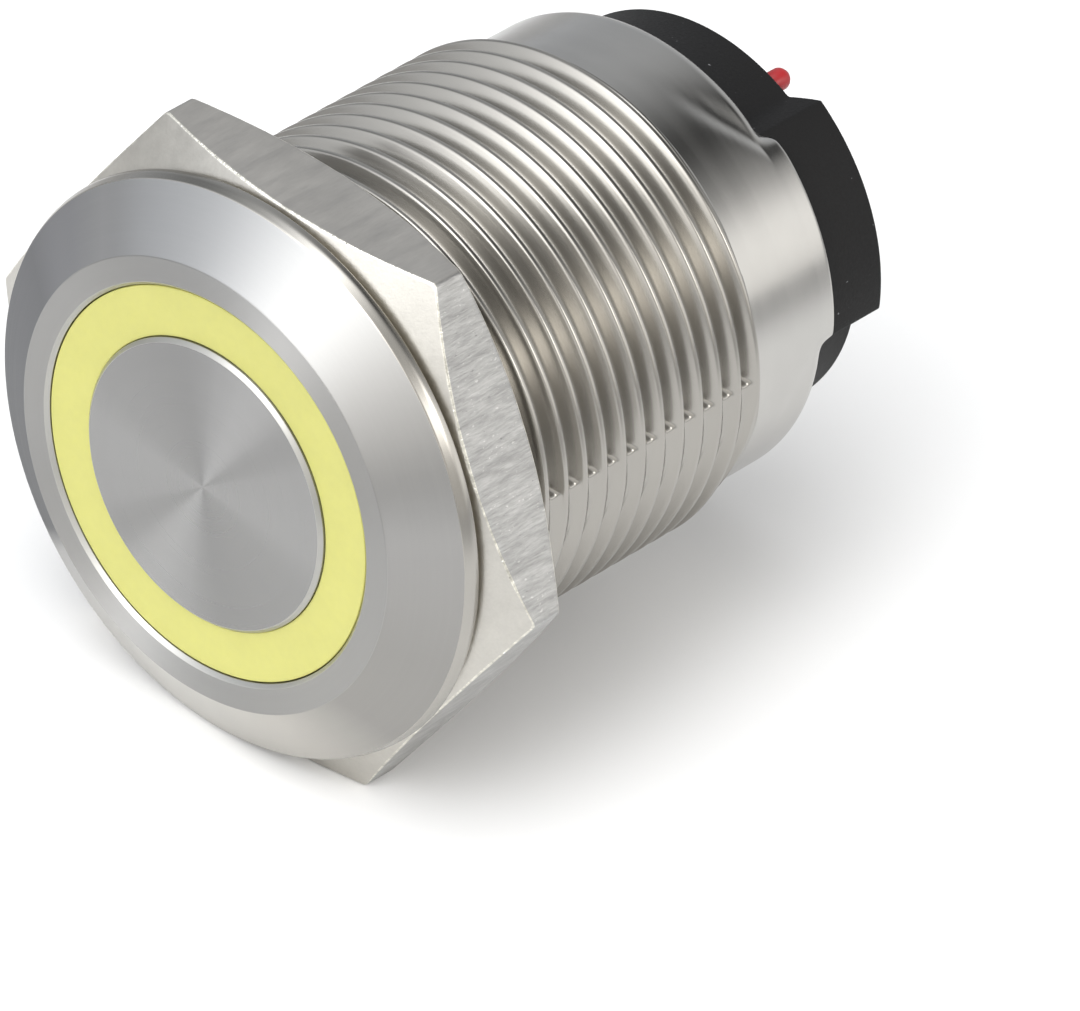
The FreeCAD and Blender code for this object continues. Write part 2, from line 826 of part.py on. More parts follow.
# -------------------------------------------------------------------- contacts
bridge_back = s("bridge_front") + s("strip")
plate = block(
    "bridge_plate",
    s("bridge_left"),
    s("bridge_right"),
    s("bridge_front"),
    bridge_back,
    -s("bridge_half"),
    s("bridge_half"),
)
wing = block(
    "bridge_wing",
    s("bridge_left"),
    s("bridge_left") + s("strip"),
    s("wiper_front"),
    bridge_back,
    -s("bridge_half"),
    s("bridge_half"),
)
window = block(
    "bridge_window",
    -s("tongue_half_x") - s("snug"),
    s("tongue_half_x") + s("snug"),
    s("bridge_front") - 1,
    bridge_back + 1,
    -s("tongue_half_z") - s("snug"),
    s("tongue_half_z") + s("snug"),
)
node(
    "moving_contact",
    keyed(cut("moving_contact", fuse("bridge_blank", [plate, wing]), window)),
)


def pierced(name, blank, x0):
    hole = cross_rod(
        name + "_hole",
        s("solder_hole_at"),
        0 if name == "common_terminal" else (
            (s("leg_low") + s("leg_high")) * (0.5 if name == "nc_terminal" else -0.5)
        ),
        x0 - 1,
        x0 + s("strip") + 1,
        s("solder_hole"),
    )
    return node(name, keyed(cut(name, blank, hole)))


pierced(
    "common_terminal",
    block(
        "common_strip",
        s("fixed_left"),
        s("fixed_left") + s("strip"),
        s("fixed_front"),
        s("solder_end"),
        -s("fixed_half"),
        s("fixed_half"),
    ),
    s("fixed_left"),
)
pierced(
    "nc_terminal",
    fuse(
        "nc_blank",
        [
            block(
                "nc_leg",
                s("closed_leg"),
                s("closed_leg") + s("strip"),
                s("closed_plate"),
                s("solder_end"),
                s("leg_low"),
                s("leg_high"),
            ),
            block(
                "nc_arm",
                s("arm_in"),
                s("closed_leg") + s("strip"),
                s("closed_plate"),
                s("closed_plate") + s("strip"),
                -s("arm_past"),
                s("leg_high"),
            ),
        ],
    ),
    s("closed_leg"),
)
pierced(
    "no_terminal",
    fuse(
        "no_blank",
        [
            block(
                "no_leg",
                s("open_leg"),
                s("open_leg") + s("strip"),
                s("open_plate"),
                s("solder_end"),
                -s("leg_high"),
                -s("leg_low"),
            ),
            block(
                "no_arm",
                s("arm_in"),
                s("open_leg") + s("strip"),
                s("open_plate"),
                s("open_plate") + s("strip"),
                -s("leg_high"),
                s("arm_past"),
            ),
        ],
    ),
    s("open_leg"),
)


def grouped(name, obj):
    holder = doc.addObject("Part::Compound", name)
    holder.Links = [obj]
    return node(name, keyed(holder))


grouped(
    "nc_contact_pad",
    rod("nc_pad", s("pad_at"), 0, s("closed_plate") + s("strip"), s("closed_pad_back"), s("pad_rad")),
)
grouped(
    "no_contact_pad",
    rod("no_pad", s("pad_at"), 0, s("open_pad_front"), s("open_plate"), s("pad_rad")),
)
grouped(
    "led_plus_pin",
    rod("plus_pin", 0, s("pin_off"), s("pin_front"), s("pin_back"), s("pin_rad")),
)
grouped(
    "led_minus_pin",
    rod("minus_pin", 0, -s("pin_off"), s("pin_front"), s("pin_back"), s("pin_rad")),
)

# ---------------------------------------------------------------- check, write
doc.recompute()
bad = [o.Label for o in doc.Objects if any(w in o.State for w in ("Invalid", "Error"))]
if bad:
    raise RuntimeError("objects in error: %s" % ", ".join(bad))
for name, obj in PARTS.items():
    if obj.Shape.isNull() or not obj.Shape.isValid() or not obj.Shape.Solids:
        raise RuntimeError("%s has no valid solid" % name)
os.makedirs("parts", exist_ok=True)
for name, obj in PARTS.items():
    obj.Shape.exportStep("parts/%s.step" % name)
    b = obj.Shape.BoundBox
    print(
        "%-16s solids %d  volume %8.2f  x %6.2f %6.2f  y %6.2f %6.2f  z %6.2f %6.2f"
        % (name, len(obj.Shape.Solids), obj.Shape.Volume, b.XMin, b.XMax, b.YMin, b.YMax, b.ZMin, b.ZMax)
    )
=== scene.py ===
import math

import bpy
import numpy as np
from mathutils import Matrix, Vector


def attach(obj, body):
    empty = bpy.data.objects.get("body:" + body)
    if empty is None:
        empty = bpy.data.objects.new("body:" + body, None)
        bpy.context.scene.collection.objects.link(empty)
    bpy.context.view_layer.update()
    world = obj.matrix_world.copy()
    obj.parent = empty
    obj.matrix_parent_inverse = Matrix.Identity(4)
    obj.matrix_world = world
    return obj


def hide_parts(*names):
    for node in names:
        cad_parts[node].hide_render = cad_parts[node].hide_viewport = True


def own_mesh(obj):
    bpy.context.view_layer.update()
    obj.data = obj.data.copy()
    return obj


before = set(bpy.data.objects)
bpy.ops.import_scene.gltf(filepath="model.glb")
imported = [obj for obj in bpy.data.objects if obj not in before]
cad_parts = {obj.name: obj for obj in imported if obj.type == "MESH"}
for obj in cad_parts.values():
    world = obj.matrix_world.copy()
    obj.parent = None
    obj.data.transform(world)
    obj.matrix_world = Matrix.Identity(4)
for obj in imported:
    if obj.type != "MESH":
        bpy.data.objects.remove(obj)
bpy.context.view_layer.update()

MM = 0.001
SCENE = bpy.context.scene

# Everything below is worked out in millimetres: the button's axis is Y, the face
# looks along -Y, the seating plane of the head is Y = 0.
LIP = -2.07          # lip plane
KEY = -30.0          # turn of the tabs and terminals about the axis, degrees
PITCH = 1.0
CREST, ROOT = 9.50, 8.885
SKIRT = 8.85


# ------------------------------------------------------------------- camera
def add_camera():
    data = bpy.data.cameras.new("camera")
    data.sensor_width = 36.0
    data.lens = 528.67
    data.clip_start, data.clip_end = 0.02, 50.0
    cam = bpy.data.objects.new("camera", data)
    SCENE.collection.objects.link(cam)
    right = Vector((0.73254961, 0.67095832, 0.11483033))
    up = Vector((-0.47903073, 0.38826942, 0.7872588))
    back = Vector((0.48363273, -0.63171338, 0.60583626))
    m = Matrix((right, up, back)).transposed().to_4x4()
    m.translation = Vector((0.27417, -0.34110, 0.33319))
    cam.matrix_world = m
    SCENE.camera = cam


add_camera()


# ------------------------------------------------------------- mesh helpers
def smoothstep(x):
    x = np.clip(x, 0.0, 1.0)
    return x * x * (3 - 2 * x)


def rounded(points, support=0.03):
    """A polyline (r, y) with some of its corners rounded.

    points are (r, y) or (r, y, radius, steps). Each rounded corner gets a
    point just outside it on both sides, so that flats shade flat."""
    pts = [(p[0], p[1], p[2] if len(p) > 2 else 0.0, p[3] if len(p) > 3 else 4) for p in points]
    out = []
    n = len(pts)
    for i, (r, y, rad, steps) in enumerate(pts):
        here = np.array([r, y], float)
        if rad <= 0 or i in (0, n - 1):
            out.append(tuple(here))
            continue
        a = np.array(pts[i - 1][:2], float) - here
        b = np.array(pts[i + 1][:2], float) - here
        la, lb = np.linalg.norm(a), np.linalg.norm(b)
        a, b = a / la, b / lb
        half = 0.5 * math.acos(float(np.clip(a @ b, -1, 1)))
        cut = min(rad / math.tan(half), 0.45 * la, 0.45 * lb)
        rad = cut * math.tan(half)
        mid = a + b
        mid /= np.linalg.norm(mid)
        centre = here + mid * (rad / math.sin(half))
        p0, p1 = here + a * cut, here + b * cut
        if la > cut + 2.2 * support:
            out.append(tuple(here + a * (cut + support)))
        v0, v1 = p0 - centre, p1 - centre
        sweep = math.acos(float(np.clip(v0 @ v1 / (rad * rad), -1, 1)))
        turn = 1.0 if v0[0] * v1[1] - v0[1] * v1[0] > 0 else -1.0
        for k in range(steps + 1):
            t = turn * sweep * k / steps
            c, s = math.cos(t), math.sin(t)
            out.append(tuple(centre + np.array([c * v0[0] - s * v0[1], s * v0[0] + c * v0[1]])))
        if lb > cut + 2.2 * support:
            out.append(tuple(here + b * (cut + support)))
    return out


def new_object(name, verts, faces, mats=(), face_mat=None, smooth=True):
    mesh = bpy.data.meshes.new(name)
    mesh.from_pydata((np.asarray(verts) * MM).tolist(), [], faces)
    mesh.validate(clean_customdata=False)
    for m in mats:
        mesh.materials.append(m)
    if face_mat is not None:
        mesh.polygons.foreach_set("material_index", np.asarray(face_mat, np.int32))
    mesh.polygons.foreach_set("use_smooth", np.full(len(mesh.polygons), smooth, bool))
    mesh.update()
    obj = bpy.data.objects.new(name, mesh)
    SCENE.collection.objects.link(obj)
    return obj


def outward(obj):
    """Turns the faces so that they look outward, by the sign of the enclosed volume."""
    mesh = obj.data
    mesh.calc_loop_triangles()
    co = np.zeros(len(mesh.vertices) * 3)
    mesh.vertices.foreach_get("co", co)
    co = co.reshape(-1, 3)
    tri = np.zeros(len(mesh.loop_triangles) * 3, np.int32)
    mesh.loop_triangles.foreach_get("vertices", tri)
    tri = tri.reshape(-1, 3)
    a, b, c = co[tri[:, 0]], co[tri[:, 1]], co[tri[:, 2]]
    if np.einsum("ij,ij->i", a, np.cross(b, c)).sum() < 0:
        mesh.flip_normals()
        mesh.update()
    return obj


def ring_angles(n, dense=(), spread=4.0, gain=3.0):
    """n angles round the axis, closer together near the given ones (degrees)."""
    fine = np.linspace(0, 360, 7201)
    weight = np.ones_like(fine)
    for d in dense:
        away = np.abs((fine - d + 180) % 360 - 180)
        weight += gain * np.exp(-((away / spread) ** 2))
    total = np.concatenate([[0], np.cumsum((weight[1:] + weight[:-1]) / 2)])
    total /= total[-1]
    out = np.radians(np.interp(np.arange(n) / n, total, fine))
    for quarter in (math.pi / 2, math.pi):
        out[np.argmin(np.abs(out - quarter))] = quarter
    return out


def at(r, y, theta):
    """theta turns about +Y from +X towards -Z, the way a right-hand thread advances."""
    return np.stack([r * np.cos(theta), y + 0 * theta, -r * np.sin(theta)], -1)


def lathe(name, profile, n=192, mats=(), mat_of=None, closed=True, theta=None):
    """Turns a polyline (r, y) about the axis. Points on the axis become one vertex."""
    theta = ring_angles(n) if theta is None else theta
    n = len(theta)
    verts, ids, faces, fm = [], [], [], []
    for r, y in profile:
        if r < 1e-6:
            ids.append([len(verts)] * n)
            verts.append((0.0, y, 0.0))
        else:
            start = len(verts)
            ids.append(list(range(start, start + n)))
            verts.extend(at(r, y, theta).tolist())
    m = len(profile)
    for k in range(m if closed else m - 1):
        a, b = ids[k], ids[(k + 1) % m]
        for i in range(n):
            j = (i + 1) % n
            quad = [a[i], a[j], b[j], b[i]]
            quad = [v for q, v in enumerate(quad) if v not in quad[:q]]
            if len(quad) > 2:
                faces.append(quad)
                fm.append(mat_of(k) if mat_of else 0)
    return outward(new_object(name, verts, faces, mats, fm))


# ---------------------------------------------------------------- materials
def socket(node, *names):
    for name in names:
        if name in node.inputs:
            return node.inputs[name]
    raise KeyError(names)


class Shader:
    """A principled material with a small kit for building its nodes."""

    def __init__(self, name, color, rough, metal=0.0, **fixed):
        self.mat = bpy.data.materials.new(name)
        self.mat.use_nodes = True
        self.tree = self.mat.node_tree
        self.out = None
        for node in list(self.tree.nodes):
            if node.type == "BSDF_PRINCIPLED":
                self.bsdf = node
        self.bsdf.inputs["Base Color"].default_value = (*color, 1)
        self.bsdf.inputs["Roughness"].default_value = rough
        self.bsdf.inputs["Metallic"].default_value = metal
        for key, value in fixed.items():
            self.bsdf.inputs[key.replace("_", " ")].default_value = value
        self._polar = None

    def node(self, kind, **props):
        node = self.tree.nodes.new(kind)
        for key, value in props.items():
            setattr(node, key, value)
        return node

    def link(self, a, b):
        self.tree.links.new(a, b)

    def math(self, op, a, b=None, c=None, clamp=False):
        node = self.node("ShaderNodeMath", operation=op, use_clamp=clamp)
        for i, v in enumerate((a, b, c)):
            if v is None:
                continue
            if isinstance(v, (int, float)):
                node.inputs[i].default_value = v
            else:
                self.link(v, node.inputs[i])
        return node.outputs[0]

    def coords(self):
        """x, y, z in millimetres, distance from the axis, and angle about it in degrees (0 at +X, 90 at +Z)."""
        if self._polar is None:
            tc = self.node("ShaderNodeTexCoord")
            sep = self.node("ShaderNodeSeparateXYZ")
            self.link(tc.outputs["Object"], sep.inputs[0])
            x, y, z = (self.math("MULTIPLY", sep.outputs[i], 1000.0) for i in range(3))
            r = self.math("SQRT", self.math("ADD", self.math("MULTIPLY", x, x), self.math("MULTIPLY", z, z)))
            a = self.math("MULTIPLY", self.math("ARCTAN2", z, x), 180 / math.pi)
            a = self.math("FLOORED_MODULO", a, 360.0)
            self._polar = {"x": x, "y": y, "z": z, "r": r, "a": a}
        return self._polar

    def vector(self, x, y, z):
        node = self.node("ShaderNodeCombineXYZ")
        for i, v in enumerate((x, y, z)):
            if isinstance(v, (int, float)):
                node.inputs[i].default_value = v
            else:
                self.link(v, node.inputs[i])
        return node.outputs[0]

    def noise(self, vec, scale=1.0, detail=3.0, rough=0.5, kind="3D"):
        node = self.node("ShaderNodeTexNoise", noise_dimensions=kind)
        self.link(vec, node.inputs["Vector"])
        node.inputs["Scale"].default_value = scale
        node.inputs["Detail"].default_value = detail
        node.inputs["Roughness"].default_value = rough
        return node.outputs[0]

    def ramp(self, fac, stops, mode="LINEAR"):
        node = self.node("ShaderNodeValToRGB")
        node.color_ramp.interpolation = mode
        elements = node.color_ramp.elements
        while len(elements) < len(stops):
            elements.new(0.5)
        for e, (pos, col) in zip(elements, stops):
            e.position = pos
            e.color = (*((col,) * 3 if isinstance(col, (int, float)) else col), 1)
        self.link(fac, node.inputs[0])
        return node.outputs[0]

    def span(self, value, a, b, c, d):
        node = self.node("ShaderNodeMapRange")
        self.link(value, node.inputs["Value"])
        for key, v in (("From Min", a), ("From Max", b), ("To Min", c), ("To Max", d)):
            node.inputs[key].default_value = v
        return node.outputs[0]

    def mix(self, a, b, fac, mode="MIX"):
        node = self.node("ShaderNodeMix", data_type="RGBA", blend_type=mode)
        for key, v in (("Factor", fac), ("A", a), ("B", b)):
            found = [s for s in node.inputs if s.name == key and s.type == ("VALUE" if key == "Factor" else "RGBA")][0]
            if isinstance(v, (int, float)):
                found.default_value = v
            elif isinstance(v, tuple):
                found.default_value = (*v, 1)
            else:
                self.link(v, found)
        return [s for s in node.outputs if s.type == "RGBA"][0]

    def bump(self, height, strength, distance):
        node = self.node("ShaderNodeBump")
        node.inputs["Strength"].default_value = strength
        node.inputs["Distance"].default_value = distance
        self.link(height, node.inputs["Height"])
        old = self.bsdf.inputs["Normal"]
        if old.is_linked:
            self.link(old.links[0].from_socket, node.inputs["Normal"])
        self.link(node.outputs[0], old)

    def turned(self):
        """Grooves run round the axis, so gloss spreads across them."""
        node = self.node("ShaderNodeTangent", direction_type="RADIAL", axis="Y")
        self.link(node.outputs[0], self.bsdf.inputs["Tangent"])
        self.bsdf.inputs["Anisotropic Rotation"].default_value = 0.25


def rings(sh, per_mm=6.0, wander=0.15):
    """Noise whose streaks run round the axis, as tool marks do."""
    c = sh.coords()
    return sh.noise(
        sh.vector(
            sh.math("MULTIPLY", c["r"], per_mm),
            sh.math("MULTIPLY", c["y"], per_mm),
            sh.math("MULTIPLY", sh.math("SINE", sh.math("MULTIPLY", c["a"], math.pi / 180)), wander),
        ),
        1.0,
        4.0,
        0.6,
    )


def make_bevel():
    """Satin turned bevel. Its base colour is painted lighter and darker by the angle about the axis: painted
    reflections, with a sharp step at one place, where the cut also changes as the grooves start and end.
    """
    sh = Shader("head_bevel", (0.37, 0.37, 0.37), 0.30, 1.0, Anisotropic=0.80, Specular_Tint=(0.8, 0.8, 0.8, 1.0))
    sh.turned()
    c = sh.coords()
    marks = rings(sh, 7.0, 0.3)
    # painted reflections: base colour set by the angle about the axis, dark from about 145° to 222°, light from about
    # 228° to 300°
    cut = sh.ramp(
        sh.math("DIVIDE", c["a"], 360.0),
        [
            (0.000, (0.312, 0.305, 0.295)),
            (0.035, (0.326, 0.319, 0.311)),
            (0.070, (0.374, 0.368, 0.359)),
            (0.140, (0.368, 0.363, 0.354)),
            (0.200, (0.340, 0.338, 0.333)),
            (0.260, (0.398, 0.397, 0.396)),
            (0.333, (0.416, 0.416, 0.418)),
            (0.367, (0.406, 0.407, 0.414)),
            (0.400, (0.262, 0.264, 0.276)),
            (0.445, (0.150, 0.152, 0.160)),
            (0.500, (0.140, 0.142, 0.150)),
            (0.533, (0.128, 0.130, 0.137)),
            (0.567, (0.100, 0.101, 0.107)),
            (0.617, (0.085, 0.086, 0.091)),
            (0.632, (0.455, 0.448, 0.436)),
            (0.667, (0.520, 0.511, 0.491)),
            (0.733, (0.630, 0.617, 0.586)),
            (0.767, (0.625, 0.611, 0.579)),
            (0.800, (0.590, 0.574, 0.540)),
            (0.833, (0.530, 0.513, 0.480)),
            (0.867, (0.410, 0.397, 0.374)),
            (0.900, (0.308, 0.300, 0.287)),
            (0.967, (0.298, 0.291, 0.280)),
            (1.000, (0.312, 0.305, 0.295)),
        ],
    )
    grey = sh.node("ShaderNodeCombineColor")
    tone = sh.span(marks, 0.3, 0.7, 0.985, 1.015)
    for i in range(3):
        sh.link(tone, grey.inputs[i])
    sh.link(sh.mix(cut, grey.outputs[0], 1.0, "MULTIPLY"), sh.bsdf.inputs["Base Color"])
    sh.link(sh.span(marks, 0.2, 0.8, 0.27, 0.33), sh.bsdf.inputs["Roughness"])
    sh.bump(marks, 0.05, 0.00002)
    return sh.mat


def make_face(name, color, rough, per_mm, painted_highlight_wedge, bump):
    """A face turned in fine rings; faint wedges of painted highlight run out from the centre, lighter and darker by
    the angle about the axis.
    """
    sh = Shader(name, color, rough, 1.0, Anisotropic=1.0)
    sh.turned()
    c = sh.coords()
    fine = rings(sh, per_mm, 0.2)
    broad = rings(sh, 2.2, 0.1)
    half = sh.math("DIVIDE", sh.math("FLOORED_MODULO", c["a"], 180.0), 180.0)
    # painted highlights: base colour lighter in two opposite wedges and darker between, repeating every half turn
    painted_highlight_lift = [(0.00, 0.55), (0.167, 0.65), (0.20, 0.60), (0.233, 0.30), (0.267, 0.15), (0.30, 0.20), (0.32, 0.40), (0.345, 0.50),
            (0.40, 0.45), (0.50, 0.45), (0.53, 0.25), (0.60, 0.0), (0.80, 0.0), (0.90, 0.12), (0.96, 0.35), (1.00, 0.55)]
    painted_highlight_fan = sh.ramp(half, [(at_, 0.8 + painted_highlight_wedge * v) for at_, v in painted_highlight_lift])
    tone = sh.math("MULTIPLY", sh.span(fine, 0.2, 0.8, 0.992, 1.008), sh.span(broad, 0.25, 0.75, 0.985, 1.015))
    tone = sh.math("MULTIPLY", tone, 1.25)
    grey = sh.node("ShaderNodeCombineColor")
    for i in range(3):
        sh.link(tone, grey.inputs[i])
    base = sh.mix(color, painted_highlight_fan, 1.0, "MULTIPLY")
    sh.link(sh.mix(base, grey.outputs[0], 1.0, "MULTIPLY"), sh.bsdf.inputs["Base Color"])
    sh.link(sh.span(fine, 0.2, 0.8, rough * 0.97, rough * 1.03), sh.bsdf.inputs["Roughness"])
    sh.bump(fine, bump, 0.00002)
    return sh.mat


def make_turned(name, color, rough, aniso, per_mm=8.0, bump=0.12, blotch=0.05):
    sh = Shader(name, color, rough, 1.0, Anisotropic=aniso)
    sh.turned()
    c = sh.coords()
    marks = rings(sh, per_mm, 0.5)
    cloud = sh.noise(sh.vector(c["x"], c["y"], c["z"]), 0.45, 3.0, 0.55)
    a = sh.span(marks, 0.25, 0.75, 1 - blotch * 0.7, 1 + blotch * 0.5)
    b = sh.span(cloud, 0.3, 0.7, 1 - blotch, 1.0)
    tone = sh.math("MULTIPLY", a, b)
    grey = sh.node("ShaderNodeCombineColor")
    for i in range(3):
        sh.link(tone, grey.inputs[i])
    sh.link(sh.mix(color, grey.outputs[0], 1.0, "MULTIPLY"), sh.bsdf.inputs["Base Color"])
    sh.link(sh.span(marks, 0.2, 0.8, rough * 0.85, rough * 1.2), sh.bsdf.inputs["Roughness"])
    if bump:
        sh.bump(marks, bump, 0.00002)
    return sh.mat


def make_nut(name, color, rough, marks, chips):
    """Plated nut. The flats carry milling marks along the axis and small chips, the faces are plainer."""
    sh = Shader(name, color, rough, 1.0)
    c = sh.coords()

    def along(k, slow, detail):
        return sh.noise(
            sh.vector(sh.math("MULTIPLY", c["x"], k), sh.math("MULTIPLY", c["y"], slow), sh.math("MULTIPLY", c["z"], k)),
            1.0,
            detail,
            0.6,
        )

    broad = along(2.6, 0.35, 4.0)
    short = along(11.0, 1.6, 3.0)
    cloud = sh.noise(sh.vector(c["x"], c["y"], c["z"]), 0.6, 4.0, 0.6)
    tone = sh.math(
        "MULTIPLY",
        sh.math("MULTIPLY", sh.span(broad, 0.3, 0.7, 1 - 0.16 * marks, 1 + 0.12 * marks), sh.span(short, 0.3, 0.7, 1 - 0.13 * marks, 1 + 0.11 * marks)),
        sh.span(cloud, 0.3, 0.7, 0.95, 1.03),
    )
    if chips:
        # small bright chips and dark pits
        chip = along(8.5, 4.5, 1.0)
        pit = along(7.0, 3.2, 2.0)
        tone = sh.math("MULTIPLY", tone, sh.span(chip, 0.68, 0.75, 1.0, 1.0 + 0.75 * chips))
        tone = sh.math("MULTIPLY", tone, sh.span(pit, 0.24, 0.31, 1.0 - 0.55 * chips, 1.0))
    grey = sh.node("ShaderNodeCombineColor")
    for i in range(3):
        sh.link(tone, grey.inputs[i])
    sh.link(sh.mix(color, grey.outputs[0], 1.0, "MULTIPLY"), sh.bsdf.inputs["Base Color"])
    sh.link(sh.span(broad, 0.2, 0.8, rough * 0.85, rough * 1.15), sh.bsdf.inputs["Roughness"])
    sh.bump(broad, 0.5 * marks, 0.00004)
    sh.bump(short, 0.45 * marks, 0.00003)
    return sh.mat


def make_plastic(name, color, rough, speck=0.0, grain=6.0, depth=0.25, **fixed):
    sh = Shader(name, color, rough, 0.0, **fixed)
    c = sh.coords()
    vec = sh.vector(c["x"], c["y"], c["z"])
    fine = sh.noise(vec, grain, 4.0, 0.6)
    cloud = sh.noise(vec, 0.7, 3.0, 0.5)
    tone = sh.math("MULTIPLY", sh.span(fine, 0.3, 0.7, 0.975, 1.02), sh.span(cloud, 0.3, 0.7, 0.975, 1.015))
    grey = sh.node("ShaderNodeCombineColor")
    for i in range(3):
        sh.link(tone, grey.inputs[i])
    base = sh.mix(color, grey.outputs[0], 1.0, "MULTIPLY")
    if speck:
        dots = sh.noise(vec, 5.5, 1.0, 0.4)
        mask = sh.span(dots, 0.78, 0.83, 0.0, speck)
        base = sh.mix(base, (0.20, 0.20, 0.21), mask)
    sh.link(base, sh.bsdf.inputs["Base Color"])
    sh.link(sh.span(fine, 0.2, 0.8, rough * 0.9, min(1.0, rough * 1.12)), sh.bsdf.inputs["Roughness"])
    sh.bump(fine, depth, 0.00003)
    return sh.mat


def make_metal(name, color, rough, grain=3.0, along="y"):
    sh = Shader(name, color, rough, 1.0)
    c = sh.coords()
    k = {"x": (0.3, 1, 1), "y": (1, 0.3, 1), "z": (1, 1, 0.3)}[along]
    vec = sh.vector(*(sh.math("MULTIPLY", c[a], k[i] * 4.0) for i, a in enumerate("xyz")))
    fine = sh.noise(vec, grain, 4.0, 0.6)
    tone = sh.span(fine, 0.3, 0.7, 0.92, 1.04)
    grey = sh.node("ShaderNodeCombineColor")
    for i in range(3):
        sh.link(tone, grey.inputs[i])
    sh.link(sh.mix(color, grey.outputs[0], 1.0, "MULTIPLY"), sh.bsdf.inputs["Base Color"])
    sh.link(sh.span(fine, 0.2, 0.8, rough * 0.85, rough * 1.2), sh.bsdf.inputs["Roughness"])
    sh.bump(fine, 0.15, 0.00002)
    return sh.mat


M = {
    "bevel": make_bevel(),
    "lip": make_face("head_lip", (0.362, 0.357, 0.350), 0.39, 9.0, 0.0, 0.06),
    "rim": make_turned("head_rim", (0.40, 0.385, 0.356), 0.22, 0.3, 10.0, 0.04, 0.04),
    "edge": make_turned("broken_edges", (0.42, 0.415, 0.395), 0.32, 0.0, 6.0, 0.03, 0.03),
    "thread": make_turned("thread_steel", (0.370, 0.356, 0.330), 0.23, 0.0, 1.2, 0.0, 0.03),
    "skirt": make_turned("skirt_steel", (0.48, 0.470, 0.450), 0.21, 0.0, 2.0, 0.03, 0.05),
    # dark brown: painted shade on the head's rear face and the rim's rear edge, where the gap to the nut lies
    "back": make_turned("head_back_painted_shade", (0.34, 0.31, 0.25), 0.45, 0.0, 4.0, 0.1, 0.06),
    "inside": make_turned("bore_steel", (0.40, 0.39, 0.37), 0.35, 0.0, 4.0, 0.2, 0.06),
    # the disc's base colour carries painted highlight wedges (strength 0.26); the lip has none
    "disc": make_face("disc_metal", (0.278, 0.276, 0.274), 0.27, 14.0, 0.26, 0.02),
    "nut_flat": make_nut("nut_flats", (0.430, 0.426, 0.416), 0.46, 1.3, 0.5),
    "nut_top": make_nut("nut_flats_plain", (0.440, 0.425, 0.402), 0.52, 0.30, 0.0),
    "nut_face": make_nut("nut_faces", (0.520, 0.503, 0.466), 0.34, 0.25, 0.0),
    "nut_edge": make_nut("nut_edges", (0.700, 0.680, 0.610), 0.34, 1.8, 1.4),
    "ring": make_plastic(
        "ring_yellow", (0.475, 0.462, 0.136), 0.5, grain=3.0, depth=0.03,
        Subsurface_Weight=0.2, Subsurface_Scale=0.0006, Subsurface_Radius=(1.0, 0.9, 0.35),
    ),
    "base": make_plastic("base_black", (0.0060, 0.0058, 0.0060), 0.62, speck=0.8, grain=9.0, depth=0.35, Specular_IOR_Level=0.22),
    "red": make_plastic("mark_red", (0.35, 0.014, 0.018), 0.40, grain=4.0, depth=0.1),
    "white": make_plastic("plunger_white", (0.82, 0.82, 0.78), 0.45, grain=3.0),
    "rubber": make_plastic("seal_rubber", (0.02, 0.02, 0.02), 0.6, grain=8.0),
    "gasket": make_plastic("gasket_rubber", (0.60, 0.60, 0.57), 0.7, grain=8.0),
    "case": make_plastic("case_grey", (0.10, 0.105, 0.115), 0.5, grain=6.0),
    "board": make_plastic("board_green", (0.02, 0.14, 0.05), 0.35, grain=5.0, depth=0.1),
    "lamp": make_plastic("lamp", (0.85, 0.78, 0.35), 0.25, grain=3.0, depth=0.05),
    "chip": make_plastic("chip_black", (0.012, 0.012, 0.012), 0.4, grain=6.0),
    "copper": make_metal("copper_alloy", (0.72, 0.42, 0.22), 0.3),
    "silver": make_metal("contact_silver", (0.86, 0.85, 0.83), 0.2),
    "tin": make_metal("terminal_tin", (0.72, 0.70, 0.64), 0.3),
    "spring": make_metal("spring_steel", (0.60, 0.60, 0.60), 0.25),
}


# --------------------------------------------------------------- body shell
def thread_section():
    """One pitch of the thread: place from the crest's centre, depth below the crest."""
    deep, slope, start = CREST - ROOT - 0.01, 1.68, 0.085
    marks = [0.02, 0.055, 0.080, 0.105, 0.14, 0.24, 0.36, 0.44, 0.50, 0.56, 0.64, 0.76, 0.86, 0.895, 0.92, 0.945, 0.98]

    def depth(u):
        k = 0.014
        d = slope * k * math.log1p(math.exp((u - start) / k))
        k = 0.045
        return deep - k * math.log1p(math.exp((deep - d) / k))

    zero = depth(0.02)
    return [(t, max(0.0, depth(min(t, 1 - t)) - zero)) for t in marks]


